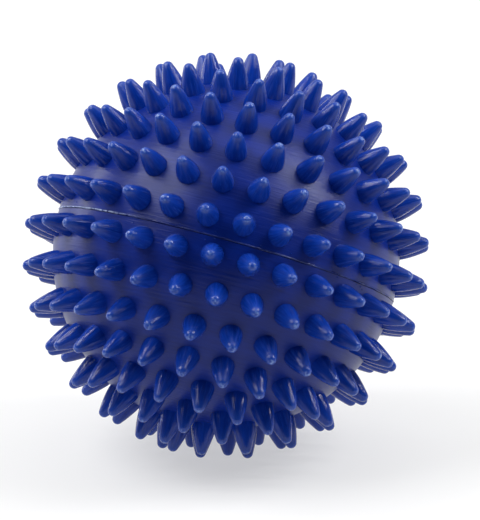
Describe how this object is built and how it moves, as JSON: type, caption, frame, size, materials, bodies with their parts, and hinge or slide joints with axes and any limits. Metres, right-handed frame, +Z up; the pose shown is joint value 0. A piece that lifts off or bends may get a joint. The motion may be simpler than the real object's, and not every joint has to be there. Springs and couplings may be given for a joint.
{
  "type": "spiky massage ball",
  "caption": "Hollow soft-plastic massage ball covered in blunt conical spikes set in rows, with a seam round the middle and a small air valve with a pull-out plug.",
  "frame": {"origin": "centre of the ball, 49.5 mm above the surface that it lies on", "axes": "+Z up, with the ball lying on three neighbouring spikes; +Y out through the air valve; -Y the front"},
  "size_m": [0.0996, 0.0988, 0.0992],
  "materials": {
    "blue_shell": "satin",
    "blue_bead": "satin",
    "blue_valve": "satin"
  },
  "bodies": {
    "ball": {"upper_half_shell": "blue_shell", "lower_half_shell": "blue_shell", "seam_bead": "blue_bead", "valve_housing": "blue_valve"},
    "plug": {"valve_plug": "blue_valve"}
  },
  "joints": [
    {"name": "valve_plug_pull", "type": "slide", "parent": "ball", "child": "plug", "axis": [0, 1, 0], "range_m": [0, 0.016]}
  ]
}
